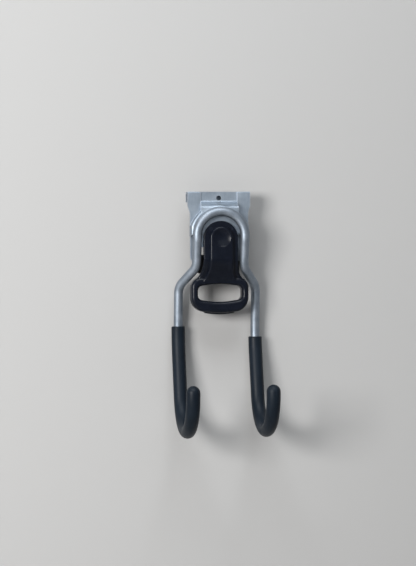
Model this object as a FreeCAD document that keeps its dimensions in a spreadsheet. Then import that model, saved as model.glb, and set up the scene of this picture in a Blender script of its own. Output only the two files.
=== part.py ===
import FreeCAD, Part
import math
import os

import Sketcher
from FreeCAD import Placement, Rotation, Vector

# A bent-wire utility hook that hangs on the top edge of a wall rail and locks under its bottom
# edge. X runs left to right, Y runs from the viewer towards the wall, Z is up. The origin is the
# inside corner of the lip: its underside lies on the rail's top edge at Z = 0, the back of the
# plate rests on the rail's face at Y = 0, and X = 0 is the middle of the plate.
# Sketches on the front plane are placed by their reach: how far forward of the rail's face.

os.makedirs("parts", exist_ok=True)
doc = FreeCAD.newDocument("utility_hook")
sheet = doc.addObject("Spreadsheet::Sheet", "sizes")

SIZES = (
    ("gauge", 2.0, "thickness of the plate's steel sheet"),
    ("lip_gap", 5.0, "room behind the plate for the rail's top flange"),
    ("lip_drop", 7.0, "how far the lip hooks down behind the flange"),
    ("lip_bend", 1.6, "outside radius of the lip's bends"),
    ("shoulder_step", 2.0, "how much wider each side is above the shoulders"),
    ("shoulder_top", 10.3, "depth below the origin where the sides start to taper"),
    ("shoulder_low", 16.5, "depth where the taper ends"),
    ("ear_standoff", 1.5, "gap between an ear's back and the rail"),
    ("panel_width", 33.0, "width of the pressed middle panel"),
    ("ramp_top", 6.4, "depth where the middle panel starts to ramp forward"),
    ("ramp_step", 0.2, "how far the ramp's end lies under the pad's front"),
    ("pad_reach", 9.0, "front of the raised pad"),
    ("pad_top", 9.6, "depth of the raised pad's upper edge"),
    ("pad_margin", 2.2, "how far the raised pad reaches past the rod's arch"),
    ("pad_bulge", 1.4, "how much the pad's round top is cut off by the plate's sides"),
    ("pad_edge", 2.6, "outside radius of the pad's pressed edge"),
    ("notch_height", 12.0, "height of the notch in the middle of the plate's lower edge"),
    ("plate_hole", 2.25, "radius of the small round hole near the top"),
    ("plate_hole_depth", 3.6, "depth of that hole's centre"),
    ("ear_corner", 3.0, "radius of the ears' lower corners"),
    ("rod", 8.0, "diameter of the bent steel rod"),
    ("weld_gap", 0.06, "gap left between the rod and the sheet it is welded to"),
    ("arch_radius", 21.2, "centre-line radius of the rod's arch"),
    ("leg_drop", 5.5, "how far under the plate the rod starts to jog outwards"),
    ("jog_depth", 17.0, "height of the jog"),
    ("jog_bend", 14.0, "centre-line radius of the jog's bends"),
    ("lean_bend", 16.0, "centre-line radius where the arch leans forward"),
    ("jog_width", 13.5, "how far the jog takes each leg outwards"),
    ("wall_room", 21.0, "distance from the rail's face back to the wall"),
    ("jog_wall_gap", 12.0, "wall to rod centre just below the jog"),
    ("leg_wall_gap", 6.5, "wall to rod centre where a prong starts to curve forward"),
    ("sweep_depth", 127.0, "depth where a prong starts to curve forward"),
    ("sweep_bend", 90.0, "centre-line radius of that gentle curve"),
    ("hook_radius", 34.0, "centre-line radius of the J"),
    ("hook_reach", 30.0, "how far the J's centre lies in front of the rail's face"),
    ("hook_depth", 172.5, "depth of the J's centre"),
    ("tip_rise", 1.2, "how far the centre of a sleeve's domed end lies above the J's centre"),
    ("rod_past_dome", 1.0, "how far the rod's end passes that centre"),
    ("sleeve", 12.0, "outside diameter of the sleeves"),
    ("sleeve_fit", 0.05, "radial gap between sleeve and rod"),
    ("sleeve_rim", 0.9, "round on a sleeve's open end"),
    ("left_sleeve_top", 116.6, "depth of the left sleeve's open end"),
    ("right_sleeve_top", 126.4, "depth of the right sleeve's open end"),
    ("latch_travel", 8.0, "how far the latch pulls down"),
    ("slide_gap", 0.3, "running gap between the latch and the plate"),
    ("latch_drop", 2.2, "how far the centre of the latch's round top lies under the arch's"),
    ("latch_room", 2.0, "gap between the latch's flange and the rod beside it"),
    ("flange_thick", 3.0, "thickness of that flange"),
    ("rib_width", 20.4, "width of the raised rib"),
    ("rib_rise", 3.9, "how far the rib stands out of the flange"),
    ("dimple_radius", 8.0, "radius of the thumb dimple's rim"),
    ("dimple_sink", 1.7, "depth of the thumb dimple"),
    ("flange_edge", 0.8, "round on the flange's front edge"),
    ("rib_edge", 1.6, "round on the rib's front edge"),
    ("neck_rise", 2.0, "how far above the plate's lower edge the latch starts to flare"),
    ("neck_height", 16.6, "height of the flare, down to the finger loop"),
    ("loop_bar", 5.9, "width of the finger loop's side bars"),
    ("loop_height", 29.3, "height of the finger loop at its sides"),
    ("loop_bow", 2.2, "how far the loop's lower edge bows down in the middle"),
    ("bow_bend", 70.0, "radius of the bowed edges"),
    ("loop_front", 7.0, "reach of the loop's front"),
    ("loop_thick", 10.0, "thickness of the loop from front to back"),
    ("loop_corner", 13.0, "radius of the loop's lower corners"),
    ("loop_shoulder", 9.0, "radius of the loop's upper corners"),
    ("loop_round", 2.8, "round on the loop's front edges"),
    ("flare_recess", 1.6, "how far the flange's flare stays behind the loop's front"),
    ("rib_foot", 36.6, "width of the rib where it runs out onto the loop"),
    ("rib_foot_edge", 2.6, "round on the rib's edge there"),
    ("finger_width", 39.4, "width of the finger hole"),
    ("finger_drop", 7.9, "from the loop's upper edge down to the finger hole's upper corners"),
    ("finger_height", 11.4, "height of the finger hole at its sides"),
    ("finger_bow", 3.0, "how far the hole's upper and lower edges bow out in the middle"),
    ("finger_corner", 4.4, "radius of the finger hole's corners"),
    ("grip_lip", 1.9, "how far the grip lip reaches below the loop"),
    ("grip_lip_width", 28.0, "width of the grip lip"),
    ("grip_lip_thick", 3.0, "thickness of the grip lip at the loop's back"),
    ("boss_radius", 2.8, "radius of the latch's two guide bosses"),
    ("boss_spread", 9.0, "distance of a guide boss from the middle"),
    ("boss_rise", 8.2, "how far the guide bosses lie above the centre of the round top"),
    ("slot_gap", 0.3, "gap between a boss and its slot"),
    ("slot_bridge", 4.9, "metal left between a guide slot and the notch"),
    ("slider_thick", 4.5, "thickness of the slider behind the plate"),
    ("slider_rise", 6.5, "how far the slider's upper edge lies above the bosses"),
    ("slider_corner", 4.0, "radius of the slider's corners"),
    ("tongue_width", 14.0, "width of the locking tongue"),
    ("tongue_bend", 2.4, "outside radius of the tongue's lower bend"),
    ("tongue_thick", 5.9, "thickness of the tongue, flush with the plate's lower edge"),
    ("tongue_wall", 3.4, "thickness of the tongue's upturned finger"),
    ("tongue_rise", 5.6, "how far that finger rises behind the rail's flange"),
    ("foot_thick", 4.9, "thickness of the wide foot under the tongue"),
    ("foot_drop", 11.0, "how far the foot hangs below the plate"),
    ("foot_corner", 3.5, "radius of the foot's lower corners"),
    ("screw_radius", 1.25, "radius of the latch screws"),
    ("screw_head", 2.4, "radius of their pan heads"),
    ("screw_head_thick", 1.5, "thickness of their heads"),
    ("screw_reach", 5.5, "length of screw thread inside the handle"),
    ("screw_fit", 0.05, "radial gap around a screw"),
    ("spring_radius", 1.95, "coil centre-line radius of the return spring"),
    ("spring_wire", 0.7, "wire diameter of the return spring"),
    ("spring_rise", 2.5, "how far the spring's upper end lies above the bosses"),
    ("spring_length", 14.0, "length of the spring at rest"),
    ("spring_turns", 6.0, "number of coils"),
    ("spring_end_gap", 0.05, "play between the spring's ends and what holds them"),
    ("tab_half", 2.6, "half the width of the tab that holds the spring"),
    ("tab_slit", 5.0, "from the spring's upper end down to the slit the tab is bent out of"),
    ("cut_past", 1.0, "how far a cut runs past the metal it takes away"),
    ("bond", 1.0, "how far one moulded or bent form runs into the next"),
)
TIED_SIZES = (
    ("arch_reach", "pad_reach + rod / 2 + weld_gap", "reach of the arch's centre-line"),
    ("pad_radius", "arch_radius + rod / 2 + pad_margin", "round top of the raised pad"),
    ("arch_depth", "pad_top + pad_radius", "depth of the arch's centre"),
    ("plate_low_width", "(pad_radius - pad_bulge) * 2", "width below the shoulders"),
    ("plate_width", "plate_low_width + shoulder_step * 2", "width across the ears"),
    ("prong_half", "arch_radius + jog_width", "half the distance between the two prongs"),
    ("latch_depth", "arch_depth + latch_drop", "depth of the centre of the latch's round top"),
    ("flange_width", "(arch_radius - rod / 2 - latch_room) * 2", "width of the back flange"),
    ("boss_depth", "latch_depth - boss_rise", "depth of the guide bosses at rest"),
    ("slot_radius", "boss_radius + slot_gap", "radius of the guide slots' ends"),
    ("notch_top", "boss_depth + latch_travel + slot_radius + slot_bridge",
     "depth where the panel ends above the tongue"),
    ("plate_depth", "notch_top + notch_height", "depth of the plate's lower edge"),
    ("leg_end", "plate_depth + leg_drop", "depth where the rod starts to jog outwards"),
    ("tip_depth", "hook_depth - tip_rise", "depth of the centre of a sleeve's domed end"),
    ("flange_back", "pad_reach + slide_gap", "reach of the latch's back"),
    ("flange_front", "flange_back + flange_thick", "reach of the flange's front"),
    ("rib_front", "flange_front + rib_rise", "reach of the rib's front"),
    ("dimple_ball", "(dimple_radius ^ 2 + dimple_sink ^ 2) / (2 * dimple_sink)",
     "radius of the ball that makes the thumb dimple"),
    ("neck_top", "plate_depth - neck_rise", "depth where the latch starts to flare"),
    ("loop_top", "neck_top + neck_height", "depth of the loop's upper edge"),
    ("loop_width", "finger_width + loop_bar * 2", "width of the finger loop"),
    ("loop_low", "loop_top + loop_height", "depth of the loop's lower edge at its sides"),
    ("loop_back", "loop_front - loop_thick", "reach of the loop's back"),
    ("finger_top", "loop_top + finger_drop", "depth of the finger hole's upper corners"),
    ("finger_low", "finger_top + finger_height", "depth of the finger hole's lower corners"),
    ("tongue_top", "plate_depth - tongue_thick", "depth of the tongue's upper face"),
    ("foot_half", "arch_radius - rod / 4", "half the width of the foot"),
    ("foot_top", "tongue_top + slide_gap", "depth of the foot's upper edge"),
    ("foot_low", "plate_depth + foot_drop", "depth of the foot's lower edge"),
    ("slider_front", "pad_reach - gauge - slide_gap", "reach of the slider's front"),
    ("slider_back", "slider_front - slider_thick", "reach of the slider's back"),
    ("slider_top", "boss_depth - slider_rise", "depth of the slider's upper edge"),
    ("spring_top", "boss_depth - spring_rise", "depth of the spring's upper end"),
    ("spring_low", "spring_top + spring_length", "depth of the spring's lower end"),
)
for row, (alias, value, meaning) in enumerate(SIZES + TIED_SIZES, start=1):
    sheet.set("A%d" % row, alias)
    sheet.set("B%d" % row, "=%s" % value)
    sheet.setAlias("B%d" % row, alias)
    sheet.set("C%d" % row, meaning)
doc.recompute()


def size(expression):
    """The number that an expression of sheet values has now."""
    return float(sheet.evalExpression(expression))


def linked(expression):
    """The same expression, as an object outside the sheet has to write it."""
    words = sorted((row[0] for row in SIZES + TIED_SIZES), key=len, reverse=True)
    out, rest = "", expression
    while rest:
        word = next((w for w in words if rest.startswith(w)), None)
        alone = not out or not (out[-1].isalnum() or out[-1] in "_.")
        if word and alone:
            out += "sizes." + word
            rest = rest[len(word):]
        else:
            out += rest[0]
            rest = rest[1:]
    return out


def bind(feature, **expressions):
    """Ties properties of a feature to expressions of sheet values."""
    for name, expression in expressions.items():
        feature.setExpression(name, linked(expression))


def new_body(name):
    body = doc.addObject("PartDesign::Body", name)
    body.Label = name
    return body


def new_sketch(body, name, plane, offset="0"):
    """A sketch on one of the body's own planes, moved along that plane's normal."""
    sketch = body.newObject("Sketcher::SketchObject", name)
    support = next(f for f in body.Origin.OriginFeatures if f.Role == plane)
    sketch.AttachmentSupport = (support, [""])
    sketch.MapMode = "FlatFace"
    sketch.AttachmentOffset = Placement(Vector(0, 0, size(offset)), Rotation())
    sketch.setExpression("AttachmentOffset.Base.z", linked(offset))
    return sketch


def pin(sketch, kind, geometry, vertex, expression):
    """Holds one coordinate of a sketch point at an expression of sheet values."""
    sign = "DistanceX" if kind == "x" else "DistanceY"
    index = sketch.addConstraint(
        Sketcher.Constraint(sign, -1, 1, geometry, vertex, size(expression))
    )
    sketch.setExpression("Constraints[%d]" % index, linked(expression))


def set_radius(sketch, geometry, expression):
    index = sketch.addConstraint(Sketcher.Constraint("Radius", geometry, size(expression)))
    sketch.setExpression("Constraints[%d]" % index, linked(expression))


def outline(sketch, corners):
    """A closed outline through corners (x, y) or (x, y, radius), in order."""
    count = len(corners)
    points = [Vector(size(c[0]), size(c[1]), 0) for c in corners]
    radii = [size(c[2]) if len(c) > 2 else 0.0 for c in corners]
    before, after, arcs = [], [], []
    for i in range(count):
        back = (points[i - 1] - points[i]).normalize()
        ahead = (points[(i + 1) % count] - points[i]).normalize()
        if radii[i] == 0:
            before.append(points[i])
            after.append(points[i])
            arcs.append(None)
            continue
        half = back.getAngle(ahead) / 2
        run = radii[i] / math.tan(half)
        before.append(points[i] + back * run)
        after.append(points[i] + ahead * run)
        centre = points[i] + (back + ahead).normalize() * (radii[i] / math.sin(half))
        left_turn = (back * -1).cross(ahead).z > 0
        arcs.append((centre, left_turn))
    lines = []
    for i in range(count):
        lines.append(sketch.addGeometry(Part.LineSegment(after[i], before[(i + 1) % count])))
    for i in range(count):
        into, out = lines[i - 1], lines[i]
        if arcs[i] is None:
            sketch.addConstraint(Sketcher.Constraint("Coincident", into, 2, out, 1))
            pin(sketch, "x", out, 1, corners[i][0])
            pin(sketch, "y", out, 1, corners[i][1])
            continue
        centre, left_turn = arcs[i]
        first, last = (before[i], after[i]) if left_turn else (after[i], before[i])
        start = math.atan2(first.y - centre.y, first.x - centre.x)
        end = math.atan2(last.y - centre.y, last.x - centre.x)
        circle = Part.Circle(centre, Vector(0, 0, 1), radii[i])
        arc = sketch.addGeometry(Part.ArcOfCircle(circle, start, end))
        near, far = (1, 2) if left_turn else (2, 1)
        sketch.addConstraint(Sketcher.Constraint("Tangent", into, 2, arc, near))
        sketch.addConstraint(Sketcher.Constraint("Tangent", arc, far, out, 1))
        set_radius(sketch, arc, corners[i][2])
        corner = sketch.addGeometry(Part.Point(points[i]), True)
        sketch.addConstraint(Sketcher.Constraint("PointOnObject", corner, 1, into))
        sketch.addConstraint(Sketcher.Constraint("PointOnObject", corner, 1, out))
        pin(sketch, "x", corner, 1, corners[i][0])
        pin(sketch, "y", corner, 1, corners[i][1])


def round_top(sketch, half_width, radius, centre, bottom):
    """Straight sides under an arc whose centre is on the middle line."""
    half, bow, middle, low = size(half_width), size(radius), size(centre), size(bottom)
    flush = abs(bow - half) < 1e-6
    rise = 0.0 if flush else math.sqrt(bow * bow - half * half)
    tilt = math.atan2(rise, half)
    circle = Part.Circle(Vector(0, middle, 0), Vector(0, 0, 1), bow)
    top = sketch.addGeometry(Part.ArcOfCircle(circle, tilt, math.pi - tilt))
    left = sketch.addGeometry(
        Part.LineSegment(Vector(-half, middle + rise, 0), Vector(-half, low, 0))
    )
    base = sketch.addGeometry(Part.LineSegment(Vector(-half, low, 0), Vector(half, low, 0)))
    right = sketch.addGeometry(
        Part.LineSegment(Vector(half, low, 0), Vector(half, middle + rise, 0))
    )
    sketch.addConstraint(Sketcher.Constraint("Coincident", top, 2, left, 1))
    sketch.addConstraint(Sketcher.Constraint("Coincident", left, 2, base, 1))
    sketch.addConstraint(Sketcher.Constraint("Coincident", base, 2, right, 1))
    sketch.addConstraint(Sketcher.Constraint("Coincident", right, 2, top, 1))
    sketch.addConstraint(Sketcher.Constraint("Vertical", left))
    sketch.addConstraint(Sketcher.Constraint("Vertical", right))
    sketch.addConstraint(Sketcher.Constraint("Horizontal", base))
    sketch.addConstraint(Sketcher.Constraint("PointOnObject", top, 3, -2))
    pin(sketch, "y", top, 3, centre)
    pin(sketch, "y", base, 1, bottom)
    set_radius(sketch, top, radius)
    if flush:
        sketch.addConstraint(Sketcher.Constraint("Horizontal", top, 1, top, 3))
        sketch.addConstraint(Sketcher.Constraint("Horizontal", top, 2, top, 3))
    else:
        pin(sketch, "x", base, 1, "-(%s)" % half_width)
        pin(sketch, "x", base, 2, half_width)


def slot(sketch, x, top, low, radius):
    """An upright slot: two half circles joined by straight sides."""
    at, up, down, bow = size(x), size(top), size(low), size(radius)
    normal = Vector(0, 0, 1)
    cap = sketch.addGeometry(
        Part.ArcOfCircle(Part.Circle(Vector(at, up, 0), normal, bow), 0, math.pi)
    )
    left = sketch.addGeometry(Part.LineSegment(Vector(at - bow, up, 0), Vector(at - bow, down, 0)))
    cup = sketch.addGeometry(
        Part.ArcOfCircle(Part.Circle(Vector(at, down, 0), normal, bow), math.pi, 2 * math.pi)
    )
    right = sketch.addGeometry(Part.LineSegment(Vector(at + bow, down, 0), Vector(at + bow, up, 0)))
    sketch.addConstraint(Sketcher.Constraint("Tangent", cap, 2, left, 1))
    sketch.addConstraint(Sketcher.Constraint("Tangent", left, 2, cup, 1))
    sketch.addConstraint(Sketcher.Constraint("Tangent", cup, 2, right, 1))
    sketch.addConstraint(Sketcher.Constraint("Tangent", right, 2, cap, 1))
    pin(sketch, "x", cap, 3, x)
    pin(sketch, "y", cap, 3, top)
    pin(sketch, "y", cup, 3, low)
    sketch.addConstraint(Sketcher.Constraint("Vertical", left))
    set_radius(sketch, cap, radius)


def disc(sketch, x, y, radius):
    """A full circle."""
    circle = Part.Circle(Vector(size(x), size(y), 0), Vector(0, 0, 1), size(radius))
    ring = sketch.addGeometry(circle)
    pin(sketch, "x", ring, 3, x)
    pin(sketch, "y", ring, 3, y)
    set_radius(sketch, ring, radius)


def must_be_whole(feature):
    if feature.Shape.isNull() or not feature.Shape.Solids:
        raise RuntimeError(feature.Name + " has no solid")


def pad(body, name, sketch, length, midplane=False):
    feature = body.newObject("PartDesign::Pad", name)
    feature.Profile = sketch
    feature.Midplane = midplane
    bind(feature, Length=length)
    doc.recompute()
    must_be_whole(feature)


def pocket(body, name, sketch, length, midplane=False, reverse=False):
    """Cuts against the sketch's normal, or along it when reversed, and must remove metal."""
    before = body.Shape.Volume
    feature = body.newObject("PartDesign::Pocket", name)
    feature.Profile = sketch
    feature.Midplane = midplane
    feature.Reversed = reverse
    bind(feature, Length=length)
    doc.recompute()
    must_be_whole(feature)
    if body.Shape.Volume >= before:
        raise RuntimeError(name + " cuts nothing")


def round_edges(body, name, radius, wanted):
    """Fillets the edges of the body's tip that the test picks out."""
    tip = body.Tip
    names = ["Edge%d" % (i + 1) for i, edge in enumerate(tip.Shape.Edges) if wanted(edge)]
    if not names:
        raise RuntimeError(name + " finds no edge")
    feature = body.newObject("PartDesign::Fillet", name)
    feature.Base = (tip, names)
    bind(feature, Radius=radius)
    doc.recompute()
    must_be_whole(feature)


def at_reach(edge, reach):
    """Whether an edge lies wholly at this distance in front of the rail's face."""
    box = edge.BoundBox
    return abs(box.YMin + reach) < 1e-4 and abs(box.YMax + reach) < 1e-4


# Mounting plate: one stamping, with a lip over the rail, two ears and a raised pad
def make_mounting_plate():
    body = new_body("mounting_plate")

    ears = new_sketch(body, "ear_outline", "XZ_Plane", "ear_standoff")
    outline(ears, (
        ("-plate_width / 2", "gauge"),
        ("-plate_width / 2", "-shoulder_top"),
        ("-plate_low_width / 2", "-shoulder_low"),
        ("-plate_low_width / 2", "-plate_depth", "ear_corner"),
        ("plate_low_width / 2", "-plate_depth", "ear_corner"),
        ("plate_low_width / 2", "-shoulder_low"),
        ("plate_width / 2", "-shoulder_top"),
        ("plate_width / 2", "gauge"),
    ))
    pad(body, "ear_sheet", ears, "gauge")

    lip = new_sketch(body, "lip_profile", "YZ_Plane")
    outline(lip, (
        ("-ear_standoff - gauge", "0"),
        ("lip_gap", "0"),
        ("lip_gap", "-lip_drop"),
        ("lip_gap + gauge", "-lip_drop"),
        ("lip_gap + gauge", "gauge", "lip_bend"),
        ("-ear_standoff - gauge", "gauge", "lip_bend"),
    ))
    pad(body, "lip", lip, "plate_width", midplane=True)

    raised = new_sketch(body, "pad_outline", "XZ_Plane")
    round_top(raised, "plate_low_width / 2", "pad_radius", "-arch_depth", "-arch_depth")
    pad(body, "raised_pad", raised, "pad_reach")

    channel = new_sketch(body, "channel_outline", "XZ_Plane")
    outline(channel, (
        ("-panel_width / 2", "-arch_depth + bond"),
        ("-panel_width / 2", "-notch_top"),
        ("panel_width / 2", "-notch_top"),
        ("panel_width / 2", "-arch_depth + bond"),
    ))
    pad(body, "channel", channel, "pad_reach")
    round_edges(
        body, "pad_rounding", "pad_edge",
        lambda e: at_reach(e, size("pad_reach"))
        and e.BoundBox.ZMax > -size("notch_top - bond"),
    )

    recess = new_sketch(body, "recess_outline", "XZ_Plane", "gauge")
    outline(recess, (
        ("-panel_width / 2", "gauge + cut_past"),
        ("-panel_width / 2", "-ramp_top - gauge"),
        ("panel_width / 2", "-ramp_top - gauge"),
        ("panel_width / 2", "gauge + cut_past"),
    ))
    pocket(body, "recess", recess, "ear_standoff + gauge", reverse=True)

    ramp = new_sketch(body, "ramp_profile", "YZ_Plane")
    outline(ramp, (
        ("0", "gauge / 2"),
        ("-gauge", "gauge / 2"),
        ("-gauge", "-ramp_top", "lip_bend"),
        ("-pad_reach + ramp_step", "-pad_top - gauge", "pad_edge"),
        ("-pad_reach + ramp_step", "-arch_depth + bond * 2"),
        ("0", "-arch_depth + bond * 2"),
    ))
    pad(body, "ramp", ramp, "panel_width", midplane=True)

    hollow = new_sketch(body, "hollow_outline", "XZ_Plane")
    round_top(
        hollow, "plate_low_width / 2 - gauge", "pad_radius - gauge",
        "-arch_depth", "-arch_depth + gauge",
    )
    pocket(body, "hollow", hollow, "pad_reach - gauge", reverse=True)

    trough = new_sketch(body, "trough_outline", "XZ_Plane")
    outline(trough, (
        ("-panel_width / 2 + gauge", "-arch_depth + gauge + bond"),
        ("-panel_width / 2 + gauge", "-plate_depth - cut_past"),
        ("panel_width / 2 - gauge", "-plate_depth - cut_past"),
        ("panel_width / 2 - gauge", "-arch_depth + gauge + bond"),
    ))
    pocket(body, "trough", trough, "pad_reach - gauge", reverse=True)

    under_ramp = new_sketch(body, "under_ramp_profile", "YZ_Plane")
    outline(under_ramp, (
        ("cut_past", "-ramp_top - gauge / 2"),
        ("0", "-ramp_top - gauge / 2"),
        ("-pad_reach + gauge", "-pad_top - gauge * 1.5"),
        ("-pad_reach + gauge", "-arch_depth"),
        ("cut_past", "-arch_depth"),
    ))
    pocket(body, "under_ramp", under_ramp, "panel_width - gauge * 2", midplane=True)

    notch = new_sketch(body, "notch_outline", "XZ_Plane")
    outline(notch, (
        ("-panel_width / 2", "-notch_top"),
        ("-panel_width / 2", "-plate_depth - cut_past"),
        ("panel_width / 2", "-plate_depth - cut_past"),
        ("panel_width / 2", "-notch_top"),
    ))
    pocket(body, "notch", notch, "pad_reach", reverse=True)

    slots = new_sketch(body, "guide_slots", "XZ_Plane")
    for side in ("-", ""):
        slot(slots, side + "boss_spread", "-boss_depth", "-boss_depth - latch_travel",
             "slot_radius")
    pocket(body, "guide_slot_cut", slots, "pad_reach + cut_past", reverse=True)

    window = new_sketch(body, "tab_window", "XZ_Plane", "pad_reach - gauge - cut_past")
    outline(window, (
        ("-tab_half", "-spring_top - tab_slit"),
        ("-tab_half", "-spring_low"),
        ("tab_half", "-spring_low"),
        ("tab_half", "-spring_top - tab_slit"),
    ))
    pocket(body, "tab_window_cut", window, "gauge + cut_past * 2", reverse=True)

    tab = new_sketch(body, "spring_tab_outline", "XZ_Plane", "pad_reach - gauge - slider_thick")
    outline(tab, (
        ("-tab_half", "-spring_low"),
        ("-tab_half", "-spring_low - gauge"),
        ("tab_half", "-spring_low - gauge"),
        ("tab_half", "-spring_low"),
    ))
    pad(body, "spring_tab", tab, "slider_thick + gauge / 2")

    hole = new_sketch(body, "hole_outline", "XZ_Plane")
    disc(hole, "0", "-plate_hole_depth", "plate_hole")
    pocket(body, "round_hole", hole, "gauge + cut_past", reverse=True)
    return body


# Routes: straight runs joined by tangent arcs, for the rod and what is pulled over it
def rounded_route(points, radii):
    """Edges through the points, each inner point rounded by its radius (0 stays sharp)."""
    edges = []
    start = points[0]
    for i in range(1, len(points) - 1):
        back = (points[i - 1] - points[i]).normalize()
        ahead = (points[i + 1] - points[i]).normalize()
        half = back.getAngle(ahead) / 2
        run = radii[i] / math.tan(half)
        first = points[i] + back * run
        last = points[i] + ahead * run
        centre = points[i] + (back + ahead).normalize() * (radii[i] / math.sin(half))
        middle = centre + (points[i] - centre).normalize() * radii[i]
        if (first - start).Length > 1e-6:
            edges.append(Part.LineSegment(start, first).toShape())
        edges.append(Part.Arc(first, middle, last).toShape())
        start = last
    edges.append(Part.LineSegment(start, points[-1]).toShape())
    return edges


def tangent_angle(centre, radius, other, clearance):
    """Angle, seen from centre, of the line that touches both circles on their front side."""
    gap = other - centre
    return math.atan2(gap.z, gap.y) - math.acos((radius - clearance) / gap.Length)


def on_circle(centre, radius, angle):
    """A point of an upright circle that faces along X."""
    return centre + Vector(0, radius * math.cos(angle), radius * math.sin(angle))


def leg_route(side):
    """From below the jog up the leg, which leans forward off the ear's foot, to the arch."""
    x = side * size("arch_radius")
    bow = size("lean_bend")
    foot = Vector(x, -size("arch_reach"), -size("arch_depth"))
    centre = foot + Vector(0, bow, 0)
    ear_foot = Vector(x, -size("ear_standoff + gauge"), -size("plate_depth"))
    angle = tangent_angle(centre, bow, ear_foot, size("rod / 2 + weld_gap")) % (2 * math.pi)
    low = on_circle(centre, bow, angle)
    down = Vector(0, -math.sin(angle), math.cos(angle))
    jog_high = low + down * ((-size("leg_end") - low.z) / down.z)
    middle = on_circle(centre, bow, (angle + math.pi) / 2)
    return jog_high, low, Part.Arc(low, middle, foot).toShape()


def prong_route(side, tip_depth, from_arch):
    """From a prong's tip round the J and up the leg; on to the arch when asked."""
    x = side * size("prong_half")
    bow = size("hook_radius")
    centre = Vector(x, -size("hook_reach"), -size("hook_depth"))
    sweep = Vector(x, size("wall_room - leg_wall_gap"), -size("sweep_depth"))
    lean = tangent_angle(centre, bow, sweep, 0)
    heel = on_circle(centre, bow, lean)
    toe = on_circle(centre, bow, math.pi)
    belly = on_circle(centre, bow, (lean + 3 * math.pi) / 2)
    tip = Vector(x, toe.y, -tip_depth)
    edges = [
        Part.LineSegment(tip, toe).toShape(),
        Part.Arc(toe, belly, heel).toShape(),
    ]
    jog_low = Vector(x, size("wall_room - jog_wall_gap"), -size("leg_end + jog_depth"))
    if not from_arch:
        last = (sweep + jog_low * 2) * (1 / 3)
        return edges + rounded_route([heel, sweep, last], [0, size("sweep_bend"), 0])
    jog_high, leg_top, lean_arc = leg_route(side)
    radii = [0, size("sweep_bend"), size("jog_bend"), size("jog_bend"), 0]
    return edges + rounded_route([heel, sweep, jog_low, jog_high, leg_top], radii) + [lean_arc]


def route_object(name, edges):
    """A guide wire that sweeps follow."""
    guide = doc.addObject("Part::Feature", name)
    ends = [edge for edge in edges if edge.Length > 1e-6]
    guide.Shape = Part.Wire(Part.__sortEdges__(ends))
    return guide


def sweep(name, guide, radius, at):
    """A round section of this radius swept along the whole guide wire."""
    section = doc.addObject("Part::Circle", name + "_section")
    bind(section, Radius=radius)
    section.Placement = Placement(at, Rotation())
    tube = doc.addObject("Part::Sweep", name)
    tube.Sections = [section]
    tube.Spine = (guide, ["Edge%d" % (i + 1) for i in range(len(guide.Shape.Edges))])
    tube.Solid = True
    tube.Frenet = False
    doc.recompute()
    return tube


def tip_point(side, depth):
    return Vector(
        side * size("prong_half"), -size("hook_reach + hook_radius"), -size(depth)
    )


# Wire frame: one steel rod from the left tip, over the arch, to the right tip
def make_wire_frame():
    tip = "tip_depth - rod_past_dome"
    left = prong_route(-1, size(tip), True)
    right = prong_route(1, size(tip), True)
    radius = size("arch_radius")
    foot = Vector(radius, -size("arch_reach"), -size("arch_depth"))
    crown = Vector(0, -size("arch_reach"), -size("arch_depth") + radius)
    arch = Part.Arc(Vector(-foot.x, foot.y, foot.z), crown, foot).toShape()
    guide = route_object("frame_route", left + [arch] + right)
    rod = sweep("wire_frame", guide, "rod / 2", tip_point(-1, tip))
    return rod


# Grip sleeves: soft tubes with a domed closed end, pulled over the two prongs
def make_grip_sleeve(name, side, top):
    outer_guide = route_object(name + "_route", prong_route(side, size("tip_depth"), False))
    outer = sweep(name + "_outer", outer_guide, "sleeve / 2", tip_point(side, "tip_depth"))
    dome = doc.addObject("Part::Sphere", name + "_dome")
    bind(dome, Radius="sleeve / 2")
    dome.Placement = Placement(tip_point(side, "tip_depth"), Rotation())
    whole = doc.addObject("Part::Fuse", name + "_whole")
    whole.Base = outer
    whole.Tool = dome
    inner_tip = "tip_depth - rod_past_dome - sleeve_fit"
    inner_guide = route_object(name + "_bore_route", prong_route(side, size(inner_tip), False))
    inner = sweep(name + "_bore", inner_guide, "rod / 2 + sleeve_fit", tip_point(side, inner_tip))
    hollow = doc.addObject("Part::Cut", name + "_hollow")
    hollow.Base = whole
    hollow.Tool = inner
    above = doc.addObject("Part::Box", name + "_above")
    bind(above, Length="sleeve * 2", Width="sleeve * 4", Height="sweep_depth")
    above.Placement = Placement(
        Vector(side * size("prong_half") - size("sleeve"), -size("sleeve"), -size(top)),
        Rotation(),
    )
    cut = doc.addObject("Part::Cut", name + "_cut")
    cut.Base = hollow
    cut.Tool = above
    doc.recompute()
    middle = side * size("prong_half")
    halfway_out = size("rod + sleeve") / 4
    rim = [
        i + 1 for i, edge in enumerate(cut.Shape.Edges)
        if abs(edge.BoundBox.ZMin + size(top)) < 1e-3
        and abs(edge.BoundBox.ZMax + size(top)) < 1e-3
        and max(edge.BoundBox.XMax - middle, middle - edge.BoundBox.XMin) > halfway_out
    ]
    if not rim:
        raise RuntimeError(name + " has no rim edge")
    sleeve = doc.addObject("Part::Fillet", name)
    sleeve.Base = cut
    sleeve.Edges = [(i, size("sleeve_rim"), size("sleeve_rim")) for i in rim]
    doc.recompute()
    return sleeve


# Shares of the way from a flare's first section to its last: depth, width, front, back, corner
FLARE_STEPS = (
    (0.0, 0.0, 0.0, 0.0, 0.0),
    (0.38, 0.08, 0.26, 0.23, 0.3),
    (0.76, 0.42, 0.8, 0.67, 0.8),
    (1.0, 1.0, 1.0, 1.0, 1.0),
)


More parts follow.
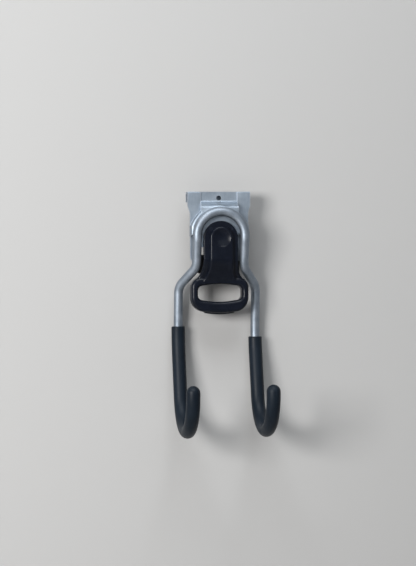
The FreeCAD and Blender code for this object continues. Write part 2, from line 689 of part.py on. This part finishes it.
def flare(body, name, first, last):
    """A loft between level sections given by depth, half width, front, back and corner."""
    sections = []
    for number, shares in enumerate(FLARE_STEPS, start=1):
        depth, half, front, back, corner = (
            "(%s) * %s + (%s) * %s" % (first[i], 1 - share, last[i], share)
            for i, share in enumerate(shares)
        )
        section = new_sketch(body, "%s_%d" % (name, number), "XY_Plane", "-(%s)" % depth)
        outline(section, (
            ("-(%s)" % half, "-(%s)" % front, corner),
            (half, "-(%s)" % front, corner),
            (half, "-(%s)" % back, "flange_edge"),
            ("-(%s)" % half, "-(%s)" % back, "flange_edge"),
        ))
        sections.append(section)
    loft = body.newObject("PartDesign::AdditiveLoft", name)
    loft.Profile = sections[0]
    loft.Sections = sections[1:]
    loft.Ruled = False
    doc.recompute()


# Latch handle: moulded lever with a flange, a raised rib, a flared neck and a finger loop
def make_latch_handle():
    body = new_body("latch_handle")

    flange = new_sketch(body, "flange_outline", "XZ_Plane", "flange_back")
    round_top(flange, "flange_width / 2", "flange_width / 2", "-latch_depth", "-neck_top")
    pad(body, "flange", flange, "flange_thick")
    round_edges(
        body, "flange_rounding", "flange_edge",
        lambda e: at_reach(e, size("flange_front")) and e.BoundBox.ZMax > -size("neck_top - bond"),
    )

    rib = new_sketch(body, "rib_outline", "XZ_Plane", "flange_back + flange_thick / 2")
    round_top(rib, "rib_width / 2", "rib_width / 2", "-latch_depth", "-neck_top")
    pad(body, "rib", rib, "flange_thick / 2 + rib_rise")
    round_edges(
        body, "rib_rounding", "rib_edge",
        lambda e: at_reach(e, size("rib_front")) and e.BoundBox.ZMax > -size("neck_top - bond"),
    )

    loop = new_sketch(body, "loop_outline", "XZ_Plane", "loop_back")
    outline(loop, (
        ("-loop_width / 2", "-loop_top", "loop_shoulder"),
        ("-loop_width / 2", "-loop_low", "loop_corner"),
        ("0", "-loop_low - loop_bow", "bow_bend"),
        ("loop_width / 2", "-loop_low", "loop_corner"),
        ("loop_width / 2", "-loop_top", "loop_shoulder"),
    ))
    pad(body, "loop", loop, "loop_thick")

    finger = new_sketch(body, "finger_outline", "XZ_Plane", "loop_back - cut_past")
    outline(finger, (
        ("-finger_width / 2", "-finger_top", "finger_corner"),
        ("-finger_width / 2", "-finger_low", "finger_corner"),
        ("0", "-finger_low - finger_bow", "bow_bend"),
        ("finger_width / 2", "-finger_low", "finger_corner"),
        ("finger_width / 2", "-finger_top", "finger_corner"),
        ("0", "-finger_top + finger_bow", "bow_bend"),
    ))
    pocket(body, "finger_hole", finger, "loop_thick + cut_past * 2", reverse=True)
    round_edges(
        body, "loop_rounding", "loop_round",
        lambda e: at_reach(e, size("loop_front")),
    )

    lip = new_sketch(body, "grip_lip_outline", "XZ_Plane", "loop_back")
    outline(lip, (
        ("-grip_lip_width / 2", "-loop_low + grip_lip_thick"),
        ("-grip_lip_width / 2", "-loop_low - grip_lip", "grip_lip"),
        ("0", "-loop_low - loop_bow - grip_lip", "bow_bend"),
        ("grip_lip_width / 2", "-loop_low - grip_lip", "grip_lip"),
        ("grip_lip_width / 2", "-loop_low + grip_lip_thick"),
    ))
    pad(body, "grip_lip_pad", lip, "grip_lip_thick")

    flare(
        body, "flange_flare",
        ("neck_top", "flange_width / 2", "flange_front", "flange_back", "flange_edge"),
        ("loop_top + loop_round", "loop_width / 2 - loop_round", "loop_front - flare_recess",
         "loop_back", "loop_round"),
    )
    flare(
        body, "rib_flare",
        ("neck_top", "rib_width / 2", "rib_front", "flange_back", "rib_edge"),
        ("finger_top - finger_bow", "rib_foot / 2", "loop_front", "loop_back + bond",
         "rib_foot_edge"),
    )

    thumb = body.newObject("PartDesign::SubtractiveSphere", "thumb_dimple")
    bind(thumb, Radius="dimple_ball")
    thumb.Placement = Placement(
        Vector(0, -size("rib_front - dimple_sink + dimple_ball"), -size("latch_depth")), Rotation()
    )
    doc.recompute()

    bosses = new_sketch(body, "boss_outline", "XZ_Plane", "slider_front")
    for side in ("-", ""):
        disc(bosses, side + "boss_spread", "-boss_depth", "boss_radius")
    pad(body, "bosses", bosses, "flange_back - slider_front + bond")
    cores = new_sketch(body, "boss_core_outline", "XZ_Plane", "slider_front")
    for side in ("-", ""):
        disc(cores, side + "boss_spread", "-boss_depth", "screw_radius + screw_fit")
    pocket(body, "boss_cores", cores, "screw_reach + screw_fit", reverse=True)
    return body


# Latch slider: runs behind the plate and carries the tongue that locks under the rail
def make_latch_slider():
    body = new_body("latch_slider")

    block = new_sketch(body, "slider_outline", "XZ_Plane", "slider_back")
    outline(block, (
        ("-panel_width / 2 + gauge + slide_gap", "-slider_top", "slider_corner"),
        ("-panel_width / 2 + gauge + slide_gap", "-plate_depth", "slider_corner"),
        ("panel_width / 2 - gauge - slide_gap", "-plate_depth", "slider_corner"),
        ("panel_width / 2 - gauge - slide_gap", "-slider_top", "slider_corner"),
    ))
    pad(body, "slider", block, "slider_thick")

    tongue = new_sketch(body, "tongue_profile", "YZ_Plane")
    outline(tongue, (
        ("-slider_back - bond", "-tongue_top"),
        ("-slider_back - bond", "-plate_depth"),
        ("lip_gap + tongue_wall", "-plate_depth", "tongue_bend"),
        ("lip_gap + tongue_wall", "-tongue_top + tongue_rise", "tongue_bend / 2"),
        ("lip_gap", "-tongue_top + tongue_rise"),
        ("lip_gap", "-tongue_top"),
    ))
    pad(body, "tongue", tongue, "tongue_width", midplane=True)

    foot = new_sketch(body, "foot_outline", "XZ_Plane", "-lip_gap - tongue_wall")
    outline(foot, (
        ("-foot_half", "-foot_top", "foot_corner / 3"),
        ("-foot_half", "-foot_low", "foot_corner"),
        ("foot_half", "-foot_low", "foot_corner"),
        ("foot_half", "-foot_top", "foot_corner / 3"),
    ))
    pad(body, "foot", foot, "foot_thick")

    window = new_sketch(body, "spring_window", "XZ_Plane", "slider_back")
    outline(window, (
        ("-tab_half - slide_gap", "-spring_top"),
        ("-tab_half - slide_gap", "-spring_low - gauge - latch_travel - slide_gap"),
        ("tab_half + slide_gap", "-spring_low - gauge - latch_travel - slide_gap"),
        ("tab_half + slide_gap", "-spring_top"),
    ))
    pocket(body, "spring_window_cut", window, "slider_thick + cut_past", reverse=True)

    holes = new_sketch(body, "screw_holes", "XZ_Plane", "slider_back")
    for side in ("-", ""):
        disc(holes, side + "boss_spread", "-boss_depth", "screw_radius + screw_fit")
    pocket(body, "screw_hole_cut", holes, "slider_thick + cut_past", reverse=True)
    return body


# Latch screws: two pan heads that draw the slider against the handle's bosses
def make_latch_screws():
    solids = []
    for side in (-1, 1):
        at = Vector(side * size("boss_spread"), -size("slider_back"), -size("boss_depth"))
        forward = Vector(0, -1, 0)
        shank = Part.makeCylinder(
            size("screw_radius"), size("slider_thick + screw_reach"), at, forward
        )
        head = Part.makeCylinder(
            size("screw_head"), size("screw_head_thick"), at, Vector(0, 1, 0)
        )
        rim = [e for e in head.Edges if at_reach(e, size("slider_back - screw_head_thick"))]
        head = head.makeFillet(size("screw_head_thick") / 2, rim)
        solids.append(shank.fuse(head).removeSplitter())
    screws = doc.addObject("Part::Feature", "latch_screws")
    screws.Shape = Part.makeCompound(solids)
    return screws


# Return spring: a compression coil between the slider's window and the plate's tab
def make_return_spring():
    helix = doc.addObject("Part::Helix", "spring_line")
    height = "spring_length - spring_wire - spring_end_gap * 2"
    bind(helix, Radius="spring_radius", Height=height, Pitch="(%s) / spring_turns" % height)
    base = Vector(
        0,
        -size("slider_front - slider_thick / 2"),
        -size("spring_low - spring_wire / 2 - spring_end_gap"),
    )
    helix.Placement = Placement(base, Rotation())
    section = doc.addObject("Part::Circle", "spring_section")
    bind(section, Radius="spring_wire / 2")
    section.Placement = Placement(
        base + Vector(size("spring_radius"), 0, 0), Rotation(Vector(1, 0, 0), 90)
    )
    spring = doc.addObject("Part::Sweep", "return_spring")
    doc.recompute()
    spring.Sections = [section]
    spring.Spine = (helix, ["Edge%d" % (i + 1) for i in range(len(helix.Shape.Edges))])
    spring.Solid = True
    spring.Frenet = True
    doc.recompute()
    return spring


NODES = (
    make_mounting_plate(),
    make_wire_frame(),
    make_grip_sleeve("left_grip_sleeve", -1, "left_sleeve_top"),
    make_grip_sleeve("right_grip_sleeve", 1, "right_sleeve_top"),
    make_latch_handle(),
    make_latch_slider(),
    make_latch_screws(),
    make_return_spring(),
)
doc.recompute()
for thing in doc.Objects:
    if "Invalid" in thing.State or "Error" in thing.State:
        raise RuntimeError(thing.Name + " did not build")
for node in NODES:
    if node.Shape.isNull() or not node.Shape.isValid():
        raise RuntimeError(node.Label + " has no valid shape")
    box = node.Shape.BoundBox
    print(node.Label, len(node.Shape.Solids), round(node.Shape.Volume, 1),
          [round(v, 2) for v in (box.XMin, box.XMax, box.YMin, box.YMax, box.ZMin, box.ZMax)])
for node in NODES:
    node.Shape.exportStep("parts/%s.step" % node.Label)
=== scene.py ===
import math

import bmesh
import bpy
from mathutils import Matrix, Vector


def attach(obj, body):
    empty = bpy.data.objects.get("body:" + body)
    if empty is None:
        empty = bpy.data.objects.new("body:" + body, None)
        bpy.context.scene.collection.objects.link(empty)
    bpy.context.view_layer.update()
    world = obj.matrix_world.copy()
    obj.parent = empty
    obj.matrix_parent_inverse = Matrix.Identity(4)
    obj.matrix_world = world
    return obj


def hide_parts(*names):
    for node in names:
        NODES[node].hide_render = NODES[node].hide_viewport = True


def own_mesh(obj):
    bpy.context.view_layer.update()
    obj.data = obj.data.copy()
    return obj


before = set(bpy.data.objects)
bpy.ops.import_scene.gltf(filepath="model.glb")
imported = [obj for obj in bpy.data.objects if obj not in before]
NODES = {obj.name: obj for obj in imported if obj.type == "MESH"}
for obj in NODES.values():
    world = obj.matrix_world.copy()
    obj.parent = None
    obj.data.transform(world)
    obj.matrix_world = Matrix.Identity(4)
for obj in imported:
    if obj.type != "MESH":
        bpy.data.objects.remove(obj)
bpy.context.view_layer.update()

# The photograph's view: level, from a little to the left, the picture turned by half a degree
VIEW_LEFT = math.radians(10.1)
VIEW_DISTANCE = 1.6
VIEW_TARGET = Vector((-0.0104, -0.003, -0.0784))
VIEW_ROLL = math.radians(-0.5)
PICTURE_HEIGHT_AT_PLATE = 0.498
SENSOR = 36.0

WALL_Y = 0.021
WALL_SIZE = 6.0
FLOOR_Z = -0.62
FLOOR_SIZE = 2.6
FLOOR_MIDDLE_Y = -1.28
WALL_GREY = (180, 179, 178)
ROOM_COLOUR = (0.95, 0.97, 1.0, 1.0)
ROOM_LIGHT = 0.06
ROOM_SEEN = 0.36
# Each lamp: name, place, the point that it faces, its width and height, watts and colour
LAMPS = (
    ("key", (-1.09, -1.22, 0.12), (0, 0, -0.1), (0.62, 0.5), 26.5, (1.0, 0.995, 0.985)),
    ("window", (0.3, -2.3, 0.95), (0, 0, -0.1), (2.1, 0.9), 5.0, (0.9, 0.95, 1.0)),
    ("skylight", (-0.2, -0.85, 1.4), (0, 0, -0.1), (1.2, 0.8), 22.0, (0.93, 0.97, 1.0)),
)


def srgb(red, green, blue):
    """A colour written as 0 to 255 screen values, as the shader's linear numbers."""
    def linear(value):
        share = value / 255
        return share / 12.92 if share <= 0.04045 else ((share + 0.055) / 1.055) ** 2.4
    return (linear(red), linear(green), linear(blue), 1.0)


# Camera, backdrop and lights
def make_camera():
    data = bpy.data.cameras.new("camera")
    data.sensor_width = SENSOR
    data.lens = SENSOR * VIEW_DISTANCE / PICTURE_HEIGHT_AT_PLATE
    camera = bpy.data.objects.new("camera", data)
    bpy.context.collection.objects.link(camera)
    back = Vector((-math.sin(VIEW_LEFT), -math.cos(VIEW_LEFT), 0.0))
    aim = (-back).to_track_quat("-Z", "Y").to_matrix().to_4x4()
    camera.matrix_world = (
        Matrix.Translation(VIEW_TARGET + back * VIEW_DISTANCE)
        @ aim
        @ Matrix.Rotation(VIEW_ROLL, 4, "Z")
    )
    bpy.context.scene.camera = camera


def make_plane(name, size, location, rotation):
    bpy.ops.object.select_all(action="DESELECT")
    bpy.ops.mesh.primitive_plane_add(size=size, location=location, rotation=rotation)
    plane = bpy.context.active_object
    plane.name = name
    bpy.ops.object.transform_apply(location=True, rotation=True, scale=True)
    return plane


def make_backdrop_paint(name, colour):
    """Plain matt paint that shows on the side facing the object only."""
    material = bpy.data.materials.new(name)
    material.use_nodes = True
    nodes, links = material.node_tree.nodes, material.node_tree.links
    paint = nodes["Principled BSDF"]
    paint.inputs["Base Color"].default_value = colour
    paint.inputs["Roughness"].default_value = 0.9
    paint.inputs["Specular IOR Level"].default_value = 0.2
    clear = nodes.new("ShaderNodeBsdfTransparent")
    side = nodes.new("ShaderNodeNewGeometry")
    mix = nodes.new("ShaderNodeMixShader")
    links.new(side.outputs["Backfacing"], mix.inputs["Fac"])
    links.new(paint.outputs["BSDF"], mix.inputs[1])
    links.new(clear.outputs["BSDF"], mix.inputs[2])
    links.new(mix.outputs["Shader"], nodes["Material Output"].inputs["Surface"])
    return material


def make_area_light(name, location, target, size, power, colour):
    data = bpy.data.lights.new(name, "AREA")
    data.shape = "RECTANGLE"
    data.size, data.size_y = size
    data.energy = power
    data.color = colour
    lamp = bpy.data.objects.new(name, data)
    bpy.context.collection.objects.link(lamp)
    place = Vector(location)
    lamp.matrix_world = Matrix.Translation(place) @ (
        (Vector(target) - place).to_track_quat("-Z", "Y").to_matrix().to_4x4()
    )


def show_pale_to_eye(tree, strength, plain, pale):
    """The room looks pale to the camera, to metal and to glass, with no more light from it."""
    ray = tree.nodes.new("ShaderNodeLightPath")
    level = tree.nodes.new("ShaderNodeMapRange")
    level.inputs["To Min"].default_value = plain
    level.inputs["To Max"].default_value = pale
    seen = ray.outputs["Is Camera Ray"]
    for kind in ("Is Glossy Ray", "Is Transmission Ray"):
        either = tree.nodes.new("ShaderNodeMath")
        either.operation = "MAXIMUM"
        tree.links.new(seen, either.inputs[0])
        tree.links.new(ray.outputs[kind], either.inputs[1])
        seen = either.outputs[0]
    tree.links.new(seen, level.inputs["Value"])
    tree.links.new(level.outputs["Result"], strength)


def make_stage():
    upright = (math.radians(90), 0, 0)
    wall = make_plane("backdrop_wall", WALL_SIZE, (0, WALL_Y, 0), upright)
    wall.data.materials.append(make_backdrop_paint("backdrop_paint", srgb(*WALL_GREY)))
    floor = make_plane("floor", FLOOR_SIZE, (0, FLOOR_MIDDLE_Y, FLOOR_Z), (0, 0, 0))
    floor.data.materials.append(make_backdrop_paint("floor_paint", srgb(*WALL_GREY)))
    world = bpy.data.worlds.new("studio")
    bpy.context.scene.world = world
    world.use_nodes = True
    room = world.node_tree.nodes["Background"]
    room.inputs["Color"].default_value = ROOM_COLOUR
    show_pale_to_eye(world.node_tree, room.inputs["Strength"], ROOM_LIGHT, ROOM_SEEN)
    for lamp in LAMPS:
        make_area_light(*lamp)


# Finishes: each one is a small node tree on the piece's own coordinates
class Finish:
    """A material in the making, with the pieces of tree that the finishes share."""

    def __init__(self, name, metallic):
        self.material = bpy.data.materials.new(name)
        self.material.use_nodes = True
        self.nodes = self.material.node_tree.nodes
        self.links = self.material.node_tree.links
        self.shader = self.nodes["Principled BSDF"]
        self.shader.inputs["Metallic"].default_value = metallic
        self.where = self.nodes.new("ShaderNodeTexCoord").outputs["Object"]

    def stretched(self, scale):
        """The piece's coordinates drawn out along an axis, for streaks and brushing."""
        mapping = self.nodes.new("ShaderNodeMapping")
        mapping.inputs["Scale"].default_value = scale
        self.links.new(self.where, mapping.inputs["Vector"])
        return mapping.outputs["Vector"]

    def noise(self, scale, detail=3.0, rough=0.55, vector=None):
        texture = self.nodes.new("ShaderNodeTexNoise")
        texture.inputs["Scale"].default_value = scale
        texture.inputs["Detail"].default_value = detail
        texture.inputs["Roughness"].default_value = rough
        self.links.new(vector or self.where, texture.inputs["Vector"])
        return texture.outputs["Fac"]

    def between(self, value, low, high, to_low=0.0, to_high=1.0):
        """A value's stretch from low to high spread over another range."""
        spread = self.nodes.new("ShaderNodeMapRange")
        for socket, number in (
            ("From Min", low), ("From Max", high), ("To Min", to_low), ("To Max", to_high),
        ):
            spread.inputs[socket].default_value = number
        self.links.new(value, spread.inputs["Value"])
        return spread.outputs["Result"]

    def mix(self, share, low, high):
        """A colour from low to high by share; either end may be a socket."""
        blend = self.nodes.new("ShaderNodeMix")
        blend.data_type = "RGBA"
        self.links.new(share, blend.inputs["Factor"])
        for socket, colour in (("A", low), ("B", high)):
            if isinstance(colour, tuple):
                blend.inputs[socket].default_value = colour
            else:
                self.links.new(colour, blend.inputs[socket])
        return blend.outputs["Result"]

    def add(self, first, second, kind="ADD"):
        sum_of = self.nodes.new("ShaderNodeMath")
        sum_of.operation = kind
        for index, value in enumerate((first, second)):
            if isinstance(value, float):
                sum_of.inputs[index].default_value = value
            else:
                self.links.new(value, sum_of.inputs[index])
        return sum_of.outputs[0]

    def edges(self, radius):
        """1 along sharp edges and 0 on plain faces."""
        bevel = self.nodes.new("ShaderNodeBevel")
        bevel.samples = 6
        bevel.inputs["Radius"].default_value = radius
        surface = self.nodes.new("ShaderNodeNewGeometry")
        dot = self.nodes.new("ShaderNodeVectorMath")
        dot.operation = "DOT_PRODUCT"
        self.links.new(bevel.outputs["Normal"], dot.inputs[0])
        self.links.new(surface.outputs["Normal"], dot.inputs[1])
        return self.between(dot.outputs["Value"], 0.99, 0.80)

    def colour(self, socket):
        self.links.new(socket, self.shader.inputs["Base Color"])

    def gloss(self, socket):
        self.links.new(socket, self.shader.inputs["Roughness"])

    def relief(self, height, depth, strength=1.0, under=None):
        """A bump of that depth in metres, on top of another one."""
        bump = self.nodes.new("ShaderNodeBump")
        bump.inputs["Strength"].default_value = strength
        bump.inputs["Distance"].default_value = depth
        self.links.new(height, bump.inputs["Height"])
        if under:
            self.links.new(under, bump.inputs["Normal"])
        return bump.outputs["Normal"]

    def shape(self, normal):
        self.links.new(normal, self.shader.inputs["Normal"])


def zinc_sheet():
    """Pressed sheet, bluish zinc: rolling lines, faint cloudy patches, and bends painted lighter,
    partly as wear and partly as a painted highlight.
    """
    zinc = Finish("zinc_sheet", 0.92)
    clouds = zinc.noise(85.0, 4.0)
    rolled = zinc.noise(1.0, 3.0, 0.6, zinc.stretched((5200.0, 5200.0, 140.0)))
    pits = zinc.noise(2600.0, 2.0)
    patches = zinc.between(clouds, 0.3, 0.7)
    base = zinc.mix(patches, srgb(131, 142, 154), srgb(152, 163, 174))
    lined = zinc.mix(zinc.between(rolled, 0.35, 0.75, 0.0, 0.35), base, srgb(184, 191, 200))
    # Painted highlight and wear: sharp edges and bends are lightened towards near-white zinc and
    # made glossier.
    worn_and_highlit_bends = zinc.edges(0.0009)
    zinc.colour(zinc.mix(worn_and_highlit_bends, lined, srgb(214, 219, 226)))
    gloss = zinc.add(zinc.between(clouds, 0.3, 0.7, 0.43, 0.51),
                     zinc.between(rolled, 0.3, 0.8, -0.03, 0.05))
    zinc.gloss(zinc.add(gloss, zinc.between(worn_and_highlit_bends, 0.0, 1.0, 0.0, -0.1)))
    zinc.shape(zinc.relief(pits, 0.00001, 0.5, zinc.relief(rolled, 0.000012, 0.5)))
    return zinc.material


def plated_rod():
    """Bent steel rod with a silver plating: satin, a little cloudy, with fine pin marks."""
    rod = Finish("plated_rod", 0.95)
    clouds = rod.noise(110.0, 5.0, 0.6)
    grain = rod.noise(1800.0, 3.0, 0.6)
    drawn = rod.noise(1.0, 2.0, 0.5, rod.stretched((3600.0, 3600.0, 90.0)))
    base = rod.mix(rod.between(clouds, 0.3, 0.7), srgb(127, 136, 146), srgb(149, 157, 167))
    specks = rod.between(grain, 0.66, 0.74, 0.0, 0.45)
    rod.colour(rod.mix(specks, base, srgb(112, 118, 126)))
    rod.gloss(rod.add(rod.between(clouds, 0.3, 0.7, 0.48, 0.56),
                      rod.between(drawn, 0.3, 0.7, -0.03, 0.03)))
    rod.shape(rod.relief(grain, 0.000012, 0.6, rod.relief(drawn, 0.00001, 0.4)))
    return rod.material


def soft_sleeve():
    """Dipped vinyl: matt navy black with a fine orange-peel skin and faint scuffs."""
    vinyl = Finish("soft_sleeve", 0.0)
    patches = vinyl.noise(70.0, 4.0)
    peel = vinyl.noise(950.0, 2.0, 0.5)
    fine = vinyl.noise(5200.0, 2.0)
    scuffs = vinyl.noise(1.0, 4.0, 0.7, vinyl.stretched((420.0, 420.0, 90.0)))
    base = vinyl.mix(vinyl.between(patches, 0.3, 0.7), srgb(10, 19, 28), srgb(16, 26, 36))
    vinyl.colour(vinyl.mix(vinyl.between(scuffs, 0.6, 0.78, 0.0, 0.3), base, srgb(48, 55, 66)))
    vinyl.gloss(vinyl.add(vinyl.between(patches, 0.3, 0.7, 0.42, 0.52),
                          vinyl.between(fine, 0.3, 0.7, -0.04, 0.04)))
    vinyl.shape(vinyl.relief(fine, 0.000012, 0.5, vinyl.relief(peel, 0.00004, 0.45)))
    vinyl.shader.inputs["Specular IOR Level"].default_value = 0.18
    return vinyl.material


def handle_plastic():
    """Moulded nylon: navy black, half gloss, fine spark grain, paler rubbed edges."""
    nylon = Finish("handle_plastic", 0.0)
    patches = nylon.noise(60.0, 4.0)
    spark = nylon.noise(3800.0, 2.0)
    base = nylon.mix(nylon.between(patches, 0.3, 0.7), srgb(9, 13, 22), srgb(13, 18, 29))
    spots = nylon.between(nylon.noise(300.0), 0.4, 0.7)
    rubbed = nylon.add(nylon.edges(0.0007), spots, "MULTIPLY")
    nylon.colour(nylon.mix(rubbed, base, srgb(50, 56, 67)))
    nylon.gloss(nylon.add(nylon.between(patches, 0.3, 0.7, 0.23, 0.30),
                          nylon.between(spark, 0.3, 0.7, -0.02, 0.03)))
    nylon.shape(nylon.relief(spark, 0.000004, 0.4))
    nylon.shader.inputs["Specular IOR Level"].default_value = 0.17
    return nylon.material


def slider_plastic():
    """Acetal of the slider: a plainer, softer black than the handle, with moulding swirl."""
    acetal = Finish("slider_plastic", 0.0)
    swirl = acetal.noise(45.0, 5.0, 0.6)
    spark = acetal.noise(2600.0, 2.0)
    acetal.colour(acetal.mix(acetal.between(swirl, 0.3, 0.7), srgb(22, 24, 28), srgb(34, 36, 41)))
    acetal.gloss(acetal.between(swirl, 0.3, 0.7, 0.42, 0.54))
    acetal.shape(acetal.relief(spark, 0.000012, 0.5))
    return acetal.material


def screw_steel():
    """Bright plated steel of the screws, turned in fine rings."""
    steel = Finish("screw_steel", 1.0)
    clouds = steel.noise(500.0, 3.0)
    turned = steel.noise(1.0, 2.0, 0.5, steel.stretched((900.0, 9000.0, 900.0)))
    steel.colour(steel.mix(clouds, srgb(168, 170, 174), srgb(204, 206, 208)))
    steel.gloss(steel.between(turned, 0.3, 0.7, 0.2, 0.34))
    steel.shape(steel.relief(turned, 0.000008, 0.5))
    return steel.material


def spring_wire():
    """Drawn spring wire: darker, with a thin oil colour and fine draw marks."""
    wire = Finish("spring_wire", 1.0)
    tint = wire.noise(700.0, 3.0)
    drawn = wire.noise(6000.0, 2.0)
    wire.colour(wire.mix(tint, srgb(120, 118, 116), srgb(158, 156, 152)))
    wire.gloss(wire.between(drawn, 0.3, 0.7, 0.26, 0.4))
    wire.shape(wire.relief(drawn, 0.000006, 0.5))
    return wire.material


def dress(node, material):
    slots = NODES[node].material_slots
    if not slots:
        NODES[node].data.materials.append(material)
        return
    for slot in slots:
        slot.material = material


# The plate as folded: its front edge along the top is a soft bend instead of a sharp corner.
# The spring as wound: a joined, smooth copy on a mesh of its own; the real spring shortens
# towards the plate's tab while the latch is pulled down.
TOP_Z = 0.002                 # height of the fold's top
TOP_BEND = 0.0018             # radius of the soft bend
BEND_STEPS = 6
PANEL_REACH = 0.002           # front of the middle panel
EAR_REACH = 0.0035            # front of the ears
SHORTEST_BEND = 0.003         # shorter edges along the top are corners of the outline
HAIR = 0.00002                # room for rounding when edges are picked by place
JOIN_DISTANCE = 0.000001
FLAT_ANGLE = math.radians(0.5)
SMOOTH_ANGLE = math.radians(34)


def open_for_editing(piece):
    bpy.ops.object.select_all(action="DESELECT")
    piece.select_set(True)
    bpy.context.view_layer.objects.active = piece
    bpy.ops.object.mode_set(mode="EDIT")


def joined_copy(name, node):
    """A copy of a piece with its points joined, still open for editing."""
    piece = bpy.data.objects.new(name, NODES[node].data.copy())
    bpy.context.collection.objects.link(piece)
    open_for_editing(piece)
    bpy.ops.mesh.customdata_custom_splitnormals_clear()
    bpy.ops.mesh.select_all(action="SELECT")
    bpy.ops.mesh.remove_doubles(threshold=JOIN_DISTANCE)
    return piece


def settle(piece, node, material):
    """Closes the piece and puts it in the place of its node on the bracket."""
    bpy.ops.mesh.select_all(action="SELECT")
    bpy.ops.mesh.normals_make_consistent(inside=False)
    bpy.ops.object.mode_set(mode="OBJECT")
    bpy.ops.object.shade_smooth_by_angle(angle=SMOOTH_ANGLE)
    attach(piece, "bracket")
    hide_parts(node)
    piece.data.materials.clear()
    piece.data.materials.append(material)


def folded_plate():
    plate = joined_copy("folded_plate", "mounting_plate")
    bpy.ops.mesh.dissolve_limited(angle_limit=FLAT_ANGLE)

    bpy.ops.mesh.select_all(action="DESELECT")
    bpy.ops.mesh.select_mode(type="EDGE")
    mesh = bmesh.from_edit_mesh(plate.data)
    for edge in mesh.edges:
        ends = [v.co for v in edge.verts]
        level = all(abs(end.z - TOP_Z) < HAIR for end in ends)
        across = ends[0] - ends[1]
        along = abs(across.y) < HAIR and abs(across.x) > SHORTEST_BEND
        front = -EAR_REACH - HAIR < ends[0].y < -PANEL_REACH + HAIR
        if level and along and front:
            edge.select_set(True)
    bmesh.update_edit_mesh(plate.data)
    bpy.ops.mesh.bevel(
        offset=TOP_BEND, segments=BEND_STEPS, affect="EDGES", clamp_overlap=True,
    )
    settle(plate, "mounting_plate", zinc_sheet())


def wound_spring():
    spring = joined_copy("wound_spring", "return_spring")
    settle(spring, "return_spring", spring_wire())
    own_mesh(spring)


make_camera()
make_stage()
vinyl_skin = soft_sleeve()
folded_plate()
wound_spring()
dress("wire_frame", plated_rod())
dress("left_grip_sleeve", vinyl_skin)
dress("right_grip_sleeve", vinyl_skin)
dress("latch_handle", handle_plastic())
dress("latch_slider", slider_plastic())
dress("latch_screws", screw_steel())

bpy.context.scene.view_settings.view_transform = "Standard"
